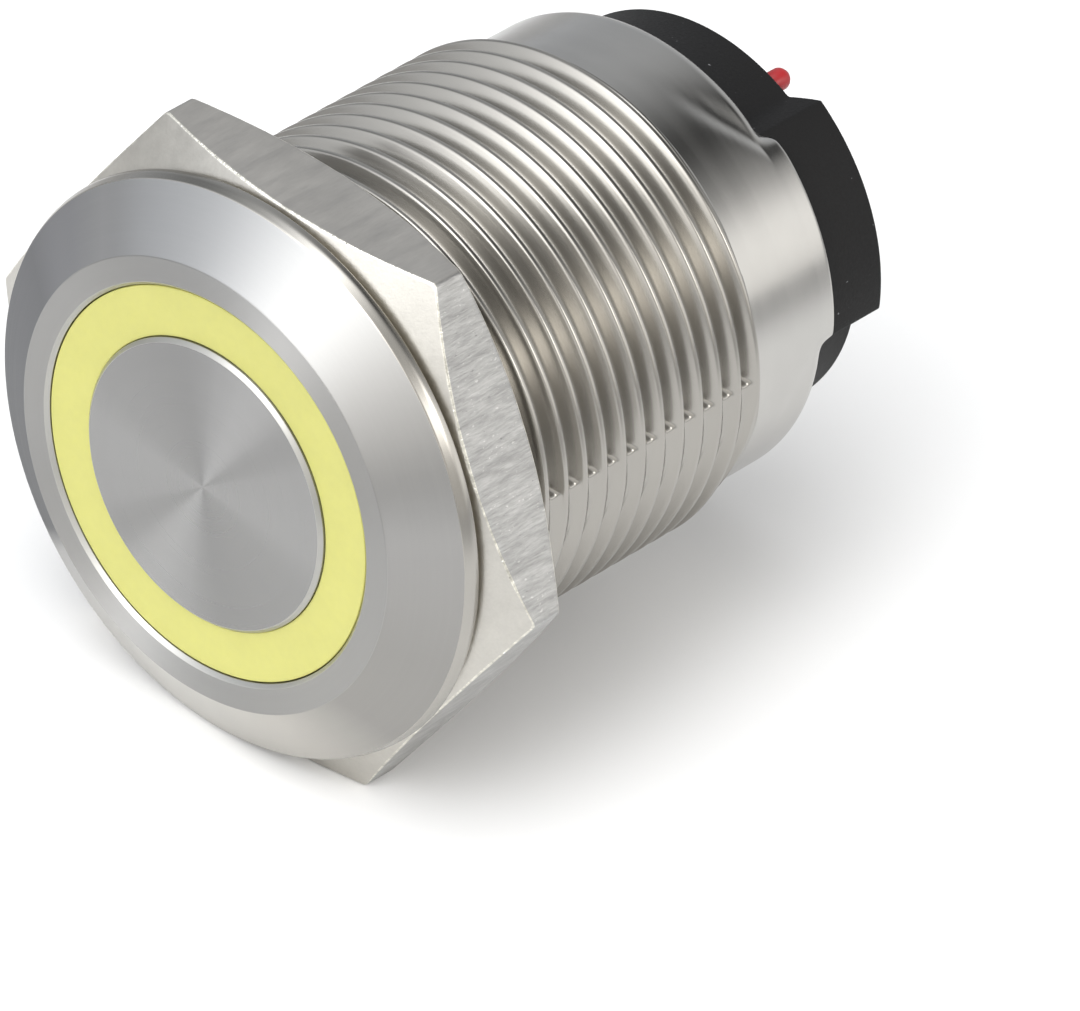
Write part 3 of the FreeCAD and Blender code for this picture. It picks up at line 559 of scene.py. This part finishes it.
def build_shell():
    dents = [turn + side for turn in (0.0, 180.0) for side in (-27.0, 27.0)]
    # theta runs the other way round from the angle used for the tabs
    theta = ring_angles(272, dense=[(-(d + 30.0)) % 360 for d in dents] + [353.0], spread=6.0, gain=2.8)
    n = len(theta)
    verts, faces, fm = [], [], []
    mats = [M["lip"], M["bevel"], M["rim"], M["thread"], M["skirt"], M["inside"], M["edge"], M["back"]]

    def add_ring(r, y):
        start = len(verts)
        r = np.broadcast_to(np.asarray(r, float), (n,))
        y = np.broadcast_to(np.asarray(y, float), (n,))
        verts.extend(np.stack([r * np.cos(theta), y, -r * np.sin(theta)], -1).tolist())
        return list(range(start, start + n))

    def bridge(a, b, mat):
        for i in range(n):
            j = (i + 1) % n
            faces.append([a[i], a[j], b[j], b[i]])
            fm.append(mat)

    def strip(profile, mats_of, last=None):
        for k, (r, y) in enumerate(profile):
            ids = add_ring(r, y)
            if last is not None:
                bridge(last, ids, mats_of(r, y))
            last = ids
        return last

    # head, from the shoulder inside the lip out to the thread relief
    head = rounded(
        [
            (7.95, LIP + 1.13),
            (7.50, LIP + 1.13, 0.03, 2),
            (7.50, LIP + 0.15, 0.04, 2),
            (7.65, LIP, 0.05, 3),
            (8.60, LIP, 0.05, 4),
            (10.93, LIP + 1.448, 0.10, 5),
            (11.05, -0.30, 0.55, 6),
            (11.05, -0.03, 0.07, 5),
            (8.95, 0.0, 0.12, 4),
            (8.95, 1.20),
        ]
    )
    first = None
    last = None
    for k, (r, y) in enumerate(head):
        ids = add_ring(min(r, 11.05), y)
        if last is None:
            first = ids
        else:
            r0, y0 = head[k - 1]
            rm, ym = (r + r0) / 2, (y + y0) / 2
            if rm < 7.502 and ym > LIP + 0.17:
                m = 5
            elif rm < 7.66 and ym > LIP + 0.002:
                m = 6
            elif ym < LIP + 0.02 and rm < 8.66:
                m = 0
            elif rm < 10.90 and ym < -0.5:
                m = 1
            elif ym < -0.075:
                m = 2
            # the head's rear face and the rim's rear rounding take the dark brown back material, painted shade of the
            # gap between head and nut
            elif rm > 9.1:
                m = 7
            else:
                m = 3
            bridge(last, ids, m)
        last = ids

    # thread: rows follow the helix and are cut off square at both ends
    section = thread_section()
    per = len(section)
    y_start, y_end = 1.20, 16.75
    turns = int(math.ceil(y_end - y_start)) + 2
    rows = turns * per + 1
    start_ring, end_ring = last, add_ring(SKIRT, y_end)
    lead = theta / (2 * math.pi) * PITCH
    # along one line the grooves stop short; below it they are shallow and deepen again,
    # and the rear end of the thread is eased off
    turn = (-np.degrees(theta) + 180) % 360 - 180
    below = smoothstep((10.0 - turn) / 2.4)
    shallow = 1 - (1 - np.interp(turn, [-60, -30, -15, -8, 0, 7], [1.0, 0.90, 0.70, 0.50, 0.42, 0.75])) * below
    floor_at = 0.62 - (0.62 - np.interp(turn, [-60, -34, -14, -3, 7], [0.62, 0.55, 0.36, 0.20, 0.20])) * below
    eased = smoothstep((6.0 - turn) / 34.0) * smoothstep((turn + 120.0) / 40.0)
    table = []
    for j in range(rows + per):
        t, d = section[j % per]
        y = y_start - 2 * PITCH + (j // per) * PITCH + t + THREAD_PHASE + lead
        r = CREST - np.minimum(d * shallow, floor_at)
        # run-in behind the head, chamfered end at the skirt
        r = 8.95 + (r - 8.95) * smoothstep((y - y_start - 0.13) / 0.45)
        r = np.minimum(r, CREST - 1.625 * (y - 16.33))
        r = np.minimum(r, CREST - 0.34 * eased * (y - 15.3))
        r = np.maximum(r, SKIRT)
        low, high = y <= y_start + 1e-3, y >= y_end - 1e-3
        row = np.empty(n, int)
        row[low] = np.array(start_ring)[low]
        row[high] = np.array(end_ring)[high]
        free = np.where(~low & ~high)[0]
        row[free] = np.arange(len(verts), len(verts) + len(free))
        verts.extend(
            np.stack([r[free] * np.cos(theta[free]), y[free], -r[free] * np.sin(theta[free])], -1).tolist()
        )
        table.append(row)
    for j in range(rows - 1):
        for i in range(n):
            if i + 1 < n:
                quad = [table[j][i], table[j][i + 1], table[j + 1][i + 1], table[j + 1][i]]
            else:
                quad = [table[j][i], table[j + per][0], table[j + 1 + per][0], table[j + 1][i]]
            quad = [int(v) for q, v in enumerate(quad) if v not in quad[:q]]
            if len(quad) > 2:
                faces.append(quad)
                fm.append(3)
    last = end_ring

    # skirt: straight beside the tabs, crimped over the base elsewhere
    phi = (-np.degrees(theta)) % 360
    local = (phi - 30.0) % 180
    away = np.minimum(local, 180 - local)          # 0 in the middle of a tab, 90 between tabs
    upper = np.where(local < 90, 1.0, 0.25)        # the dent is deep on one side of each tab only
    crimp = smoothstep((away - 24.2) / 6.6)

    def fold(y):
        """The dent beside each tab, a valley that leans away from the tab towards the front."""
        centre = 26.5 + np.maximum(2.5 + 10.5 * (19.9 - y), 0.0)
        wide = np.where(away < centre, 3.6, 7.0)
        return upper * np.exp(-(((away - centre) / wide) ** 2)) * smoothstep((y - 18.1) / 1.3)

    def straight(u):
        return SKIRT - 0.05 * max(0.0, u - 0.93) / 0.07, 20.0 + 0.96 * u

    bend_r, bend_a = 0.62, math.radians(52)
    arc_len = bend_r * bend_a
    run = 0.94

    def crimped(u):
        s = u * (arc_len + run)
        a = np.minimum(s / bend_r, bend_a)
        e = np.maximum(s - arc_len, 0)
        r = SKIRT - bend_r * (1 - np.cos(a)) - e * math.sin(bend_a)
        y = 20.0 + bend_r * np.sin(a) + e * math.cos(bend_a)
        return r, y

    def skirt_ring(base_y=None, u=None, inset=0.0):
        """A ring of the skirt; inset moves it inside by the wall's thickness."""
        if u is None:
            y = np.full(n, base_y)
            r = np.full(n, SKIRT - inset)
        else:
            sr, sy = straight(u)
            cr, cy = crimped(u)
            if inset:
                a = min(u * (arc_len + run) / bend_r, bend_a)
                cr, cy = cr - inset * math.cos(a), cy - inset * math.sin(a)
                sr = sr - inset
            r = (1 - crimp) * sr + crimp * cr
            y = (1 - crimp) * sy + crimp * cy
        r = r - 0.13 * fold(y) * (1 - 0.60 * crimp * (0.0 if u is None else u))
        return r, y

    for y in (16.80, 16.95, 17.4, 18.0, 18.3, 18.6, 18.9, 19.2, 19.45, 19.7, 19.88, 19.97):
        ids = add_ring(*skirt_ring(base_y=y))
        bridge(last, ids, 4)
        last = ids
    steps = [0.0, 0.05, 0.10, 0.15, 0.20, 0.25, 0.30, 0.35, 0.41, 0.48, 0.56, 0.65, 0.75, 0.85, 0.94, 0.985]
    for u in steps:
        ids = add_ring(*skirt_ring(u=u))
        bridge(last, ids, 4)
        last = ids
    wall = 0.39
    for f in (0.06, 0.5, 0.94):
        ids = add_ring(*skirt_ring(u=1.0, inset=wall * f))
        bridge(last, ids, 4)
        last = ids
    for u in (0.97, 0.75, 0.5, 0.3, 0.15, 0.0):
        ids = add_ring(*skirt_ring(u=u, inset=wall))
        bridge(last, ids, 5)
        last = ids
    for r, y in rounded(
        [
            (8.45, 19.6),
            (8.45, 16.60),
            (8.20, 16.60),
            (8.20, 7.0),
            (7.95, 7.0),
        ]
    ):
        ids = add_ring(r, y)
        bridge(last, ids, 5)
        last = ids
    bridge(last, first, 5)
    obj = outward(new_object("threaded_body", verts, faces, mats, fm))
    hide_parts("body_shell")
    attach(obj, "housing")
    return obj


THREAD_PHASE = 0.0
shell = build_shell()


# ----------------------------------------------------------------- lock nut
def build_nut():
    flats, rho = 22.0, 0.27
    a = flats / 2
    front, rear, face_r, fall = 0.12, 3.42, 10.65, 0.496
    pts = []
    for side in range(6):
        c = math.radians(60 * side - 90)           # middle of a flat, one flat down
        half = math.tan(math.radians(30)) * (a - rho)
        for s in np.linspace(-1, 1, 25):
            t = half * math.copysign(abs(s) ** 0.85, s)
            pts.append((a * math.cos(c) - t * math.sin(c), a * math.sin(c) + t * math.cos(c), c, c))
        corner = c + math.radians(30)
        cx = (a - rho) / math.cos(math.radians(30)) * math.cos(corner)
        cz = (a - rho) / math.cos(math.radians(30)) * math.sin(corner)
        for k in range(1, 7):
            d = corner - math.radians(30) + math.radians(60) * k / 7
            pts.append((cx + rho * math.cos(d), cz + rho * math.sin(d), c, d))
    pts = np.array([p[:2] for p in pts])
    ang = np.arctan2(pts[:, 1], pts[:, 0])
    big = np.hypot(pts[:, 0], pts[:, 1])
    n = len(pts)
    rng = np.random.default_rng(7)
    nick = np.convolve(np.tile(rng.normal(0, 1, n), 3), np.ones(3) / 3, "same")[n : 2 * n]
    rows, mat_rows = [], []

    def row(r, y, m):
        rows.append((np.broadcast_to(r, (n,)).astype(float), np.broadcast_to(y, (n,)).astype(float)))
        mat_rows.append(m)

    e = 0.060 + 0.026 * np.clip(nick, -1.5, 1.5)
    cone = lambda r, sign, y0: y0 + sign * (r - face_r) * fall
    # bore, front countersink, front face
    row(9.55, 1.8, 1)
    row(9.55, front + 0.30, 1)
    row(9.56, front + 0.27, 1)
    row(9.60, front + 0.235, 1)
    row(9.95, front + 0.035, 1)
    row(9.985, front + 0.008, 1)
    row(10.02, front, 1)
    row(face_r - 0.05, front, 1)
    row(face_r - 0.015, front + 0.002, 1)
    row(face_r + 0.02, cone(face_r + 0.02, 1, front) + 0.001, 1)
    row(face_r + 0.06, cone(face_r + 0.06, 1, front), 1)
    row(big - e * 1.7, cone(big - e * 1.7, 1, front), 1)
    row(big - e, cone(big - e, 1, front), 2)
    row(big - e * 0.30, cone(big, 1, front) + e * 0.10, 2)
    row(big, cone(big, 1, front) + e * 0.75, 0)
    row(big, cone(big, 1, front) + e * 1.6, 0)
    row(big, 1.77, 0)
    row(big, cone(big, -1, rear) - e * 1.6, 0)
    row(big, cone(big, -1, rear) - e * 0.75, 2)
    row(big - e * 0.30, cone(big, -1, rear) - e * 0.10, 2)
    row(big - e, cone(big - e, -1, rear), 1)
    row(big - e * 1.7, cone(big - e * 1.7, -1, rear), 1)
    row(face_r + 0.06, cone(face_r + 0.06, -1, rear), 1)
    row(face_r + 0.02, cone(face_r + 0.02, -1, rear) - 0.001, 1)
    row(face_r - 0.015, rear - 0.002, 1)
    row(face_r - 0.05, rear, 1)
    row(10.02, rear, 1)
    row(9.985, rear - 0.008, 1)
    row(9.95, rear - 0.035, 1)
    row(9.60, rear - 0.235, 1)
    row(9.56, rear - 0.27, 1)
    row(9.55, rear - 0.30, 1)
    verts, faces, fm = [], [], []
    for r, y in rows:
        verts.extend(np.stack([r * np.cos(ang), y, r * np.sin(ang)], -1).tolist())
    m = len(rows)
    for k in range(m):
        for i in range(n):
            j = (i + 1) % n
            k2 = (k + 1) % m
            faces.append([k * n + i, k * n + j, k2 * n + j, k2 * n + i])
            up = abs((ang[i] + ang[j]) / 2 - math.pi / 2) < math.radians(30)
            fm.append(3 if up and mat_rows[k] == 0 else mat_rows[k])
    obj = outward(new_object("hex_lock_nut", verts, faces, [M["nut_flat"], M["nut_face"], M["nut_edge"], M["nut_top"]], fm))
    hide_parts("lock_nut")
    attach(obj, "nut")
    return obj


nut = build_nut()


# ------------------------------------------------------------------- button
def build_button():
    disc = lathe(
        "turned_disc",
        rounded(
            [
                (0.0, LIP - 0.06),
                (5.42, LIP - 0.06, 0.04, 3),
                (5.56, LIP + 0.08, 0.04, 3),
                (5.56, LIP + 1.20, 0.03, 2),
                (1.50, LIP + 1.20, 0.05, 2),
                (1.50, 1.80, 0.05, 2),
                (0.0, 1.80),
            ]
        ),
        256,
        [M["disc"], M["edge"]],
        mat_of=lambda k: 1 if 2 <= k <= 9 else 0,
        closed=False,
    )
    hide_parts("cap_disc")
    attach(disc, "button")
    face = LIP + 0.15
    ring = lathe(
        "light_ring_lens",
        rounded(
            [
                (5.575, 0.22, 0.03, 2),
                (5.575, face, 0.04, 3),
                (7.46, face, 0.05, 4),
                (7.46, -0.90, 0.04, 2),
                (7.80, -0.90, 0.06, 3),
                (7.80, 0.22, 0.05, 3),
                (6.6, 0.22),
            ]
        ),
        256,
        [M["ring"]],
    )
    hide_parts("light_ring")
    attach(ring, "button")


build_button()


# --------------------------------------------------------------------- base
def build_base():
    sides = [turn + side for turn in (0.0, 180.0) for side in (-31.0, 31.0)]
    theta = ring_angles(232, dense=[(-(d + 30.0)) % 360 for d in sides], spread=3.6, gain=5.0)
    n = len(theta)
    phi = (-np.degrees(theta)) % 360
    local = (phi - 30.0) % 180
    away = np.minimum(local, 180 - local)
    tab = 1 - np.clip((away - 28.2) / 6.0, 0.0, 1.0)
    plain = rounded(
        [
            (0.0, 18.0),
            (6.0, 18.0, 0.1, 2),
            (6.0, 18.4),
            (8.36, 18.4, 0.08, 2),
            (8.36, 20.10),
            (7.62, 20.78),
            (7.62, 23.56, 0.08, 4),
            (5.95, 23.56, 0.10, 4),
            (5.95, 22.30, 0.15, 3),
            (0.0, 22.30),
        ]
    )
    # the same polyline with the tab's outline, point for point
    tabbed = []
    for r, y in plain:
        if y > 20.5 and r > 7.3:
            f = (y - 20.78) / (23.56 - 20.78)
            tabbed.append((8.36 - (7.62 - r), 20.2 + f * (24.04 - 20.2)))
        elif y > 22.7:
            f = (r - 5.95) / (7.46 - 5.95)
            tabbed.append((5.95 + f * (8.20 - 5.95), y + 0.48))
        else:
            tabbed.append((r, y))
    verts, faces, fm = [], [], []
    ids = []
    for (r, y), (tr, ty) in zip(plain, tabbed):
        if r < 1e-6:
            ids.append([len(verts)] * n)
            verts.append((0.0, y, 0.0))
            continue
        rr, yy = r + (tr - r) * tab, y + (ty - y) * tab
        ids.append(list(range(len(verts), len(verts) + n)))
        verts.extend(np.stack([rr * np.cos(theta), yy, -rr * np.sin(theta)], -1).tolist())
    for k in range(len(plain) - 1):
        for i in range(n):
            j = (i + 1) % n
            quad = [ids[k][i], ids[k][j], ids[k + 1][j], ids[k + 1][i]]
            quad = [v for q, v in enumerate(quad) if v not in quad[:q]]
            if len(quad) > 2:
                faces.append(quad)
    obj = outward(new_object("rear_base", verts, faces, [M["base"]]))
    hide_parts("base")
    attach(obj, "housing")

    # polarity mark: a short rod with a rounded end, standing on the rim
    a = math.radians(72.5)
    cx, cz = 6.70 * math.cos(a), 6.70 * math.sin(a)
    prof = [(0.0, 23.30), (0.42, 23.30), (0.42, 24.55)]
    prof += [(0.415, 24.62), (0.40, 24.68), (0.37, 24.74), (0.30, 24.83), (0.25, 24.88), (0.20, 24.905), (0.12, 24.925), (0.0, 24.93)]
    mark = lathe("red_mark", prof, 48, [M["red"]], closed=False)
    mark.data.transform(Matrix.Translation((cx * MM, 0, cz * MM)))
    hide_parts("polarity_mark")
    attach(mark, "housing")


build_base()


# ------------------------------------------------------------ return spring
def build_spring():
    mean, wire, y0, y1, turns = 4.30, 0.225, 2.85, 7.35, 5.0
    steps, around = 320, 12
    t = np.linspace(0, 1, steps + 1)
    # dead turns at both ends, open ones between
    y = y0 + (y1 - y0) * (t + 0.055 * np.sin(4 * math.pi * t))
    ang = 2 * math.pi * turns * t
    c = np.stack([mean * np.cos(ang), y, -mean * np.sin(ang)], -1)
    tan = np.gradient(c, axis=0)
    tan /= np.linalg.norm(tan, axis=1)[:, None]
    out = np.stack([np.cos(ang), 0 * ang, -np.sin(ang)], -1)
    side = np.cross(tan, out)
    side /= np.linalg.norm(side, axis=1)[:, None]
    verts, faces = [], []
    for k in range(steps + 1):
        for q in range(around):
            b = 2 * math.pi * q / around
            verts.append((c[k] + wire * (math.cos(b) * out[k] + math.sin(b) * side[k])).tolist())
    for k in range(steps):
        for q in range(around):
            p = (q + 1) % around
            faces.append([k * around + q, k * around + p, (k + 1) * around + p, (k + 1) * around + q])
    faces.append(list(range(around)))
    faces.append([steps * around + q for q in reversed(range(around))])
    obj = outward(new_object("coil_spring", verts, faces, [M["spring"]]))
    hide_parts("return_spring")
    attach(obj, "housing")
    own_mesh(obj)


build_spring()

# ------------------------------------------- finish of the carried CAD nodes
FINISH = {
    "plunger": "white",
    "plunger_seal": "rubber",
    "guide_case": "case",
    "base_gasket": "gasket",
    "led_board": "board",
    "leds": "lamp",
    "led_resistor": "chip",
    "moving_contact": "copper",
    "common_terminal": "tin",
    "nc_terminal": "tin",
    "no_terminal": "tin",
    "nc_contact_pad": "silver",
    "no_contact_pad": "silver",
    "led_plus_pin": "tin",
    "led_minus_pin": "tin",
}
for node_name, key in FINISH.items():
    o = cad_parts[node_name]
    o.data.materials.clear()
    o.data.materials.append(M[key])
for node_name in ("common_terminal", "nc_terminal", "no_terminal"):
    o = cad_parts[node_name]
    weld = o.modifiers.new("weld", "WELD")
    weld.merge_threshold = 0.000002
    bevel = o.modifiers.new("edge", "BEVEL")
    bevel.width = 0.00004
    bevel.segments = 2
    bevel.limit_method = "ANGLE"
    bevel.angle_limit = math.radians(40)


# ------------------------------------------------------------ floor, lights
def build_stage():
    mesh = bpy.data.meshes.new("floor")
    s, z = 3.0, -0.01105
    mesh.from_pydata([(-s, -s, z), (s, -s, z), (s, s, z), (-s, s, z)], [], [(0, 1, 2, 3)])
    floor = bpy.data.objects.new("floor", mesh)
    SCENE.collection.objects.link(floor)
    sh = Shader("floor_painted_light_pool", (0.86, 0.86, 0.86), 0.9)
    sh.bsdf.inputs["Specular IOR Level"].default_value = 0.1
    # painted pool of light: the floor's base colour is 0.82 within about 44 mm of a point beside the button and falls
    # off to 0.34 farther away
    c = sh.coords()
    x, y = sh.math("SUBTRACT", c["x"], 13.0), sh.math("SUBTRACT", c["y"], 2.0)
    dist = sh.math("SQRT", sh.math("ADD", sh.math("MULTIPLY", x, x), sh.math("MULTIPLY", y, y)))
    tone = sh.ramp(sh.math("DIVIDE", dist, 400.0), [(0.0, 0.82), (0.11, 0.82), (0.15, 0.70), (0.22, 0.47), (0.34, 0.38), (1.0, 0.34)])
    sh.link(tone, sh.bsdf.inputs["Base Color"])
    mesh.materials.append(sh.mat)


build_stage()


def direction(az, el):
    """Azimuth 0 is straight in front of the button's face, 90 is +X; elevation is above the floor."""
    a, e = math.radians(az), math.radians(el)
    return Vector((math.sin(a) * math.cos(e), -math.cos(a) * math.cos(e), math.sin(e)))


def build_world():
    """A dim room with soft lamps: a tall one in front, one on the right, a dark gap behind."""
    world = bpy.data.worlds.new("studio")
    SCENE.world = world
    world.use_nodes = True
    tree = world.node_tree
    for node in list(tree.nodes):
        tree.nodes.remove(node)
    out = tree.nodes.new("ShaderNodeOutputWorld")
    bg = tree.nodes.new("ShaderNodeBackground")
    tree.links.new(bg.outputs[0], out.inputs[0])
    ray = tree.nodes.new("ShaderNodeTexCoord").outputs["Generated"]

    def calc(op, a, b=None):
        node = tree.nodes.new("ShaderNodeMath")
        node.operation = op
        for i, v in enumerate((a, b)):
            if v is None:
                continue
            if isinstance(v, (int, float)):
                node.inputs[i].default_value = v
            else:
                tree.links.new(v, node.inputs[i])
        return node.outputs[0]

    def dot(d):
        node = tree.nodes.new("ShaderNodeVectorMath")
        node.operation = "DOT_PRODUCT"
        tree.links.new(ray, node.inputs[0])
        node.inputs[1].default_value = d
        return node.outputs["Value"]

    def lamp(az, el, wide, tall, gain, power=1):
        c = direction(az, el)
        a = math.radians(az)
        side = Vector((math.cos(a), math.sin(a), 0))
        up = side.cross(c)
        if up.z < 0:
            up = -up
        x, y = calc("DIVIDE", dot(side), wide), calc("DIVIDE", dot(up), tall)
        q = calc("ADD", calc("MULTIPLY", x, x), calc("MULTIPLY", y, y))
        if power == 2:
            q = calc("MULTIPLY", q, q)
        glow = calc("EXPONENT", calc("MULTIPLY", q, -1.0))
        ahead = calc("GREATER_THAN", dot(c), 0.0)
        return calc("MULTIPLY", calc("MULTIPLY", glow, ahead), gain)

    total = 0.80
    for spec in [
        (-11, 26, 0.41, 0.40, 2.80),
        (2, 48, 0.27, 0.24, 4.9),
        (-30, 76, 0.27, 0.27, 4.4),
        (178, 80, 0.17, 0.17, 1.6),
        (103, 33, 0.22, 0.15, 7.0),
        (-95, 30, 0.30, 0.35, -0.42),
        (130, 13, 0.32, 0.29, 0.85, 2),
        (163, 52, 0.48, 0.36, -0.80),
        (-115, 18, 0.60, 0.42, -0.22),
        (-60, 12, 0.50, 0.36, 0.24),
        (20, 4, 0.55, 0.35, 0.45),
    ]:
        total = calc("ADD", lamp(*spec), total)
    tree.links.new(total, bg.inputs["Strength"])

    # warmer on the right, cooler on the left
    warm = tree.nodes.new("ShaderNodeMapRange")
    tree.links.new(dot(direction(75, 0)), warm.inputs["Value"])
    warm.inputs["From Min"].default_value = -0.9
    warm.inputs["From Max"].default_value = 0.9
    tint = tree.nodes.new("ShaderNodeMix")
    tint.data_type = "RGBA"
    tree.links.new(warm.outputs[0], tint.inputs[0])
    colours = [s for s in tint.inputs if s.type == "RGBA"]
    colours[0].default_value = (0.955, 0.99, 1.04, 1)
    colours[1].default_value = (1.02, 1.0, 0.965, 1)
    tree.links.new([s for s in tint.outputs if s.type == "RGBA"][0], bg.inputs["Color"])


build_world()
SCENE.view_settings.view_transform = "Standard"
SCENE.view_settings.look = "None"
SCENE.view_settings.exposure = 0.0
SCENE.view_settings.gamma = 1.0
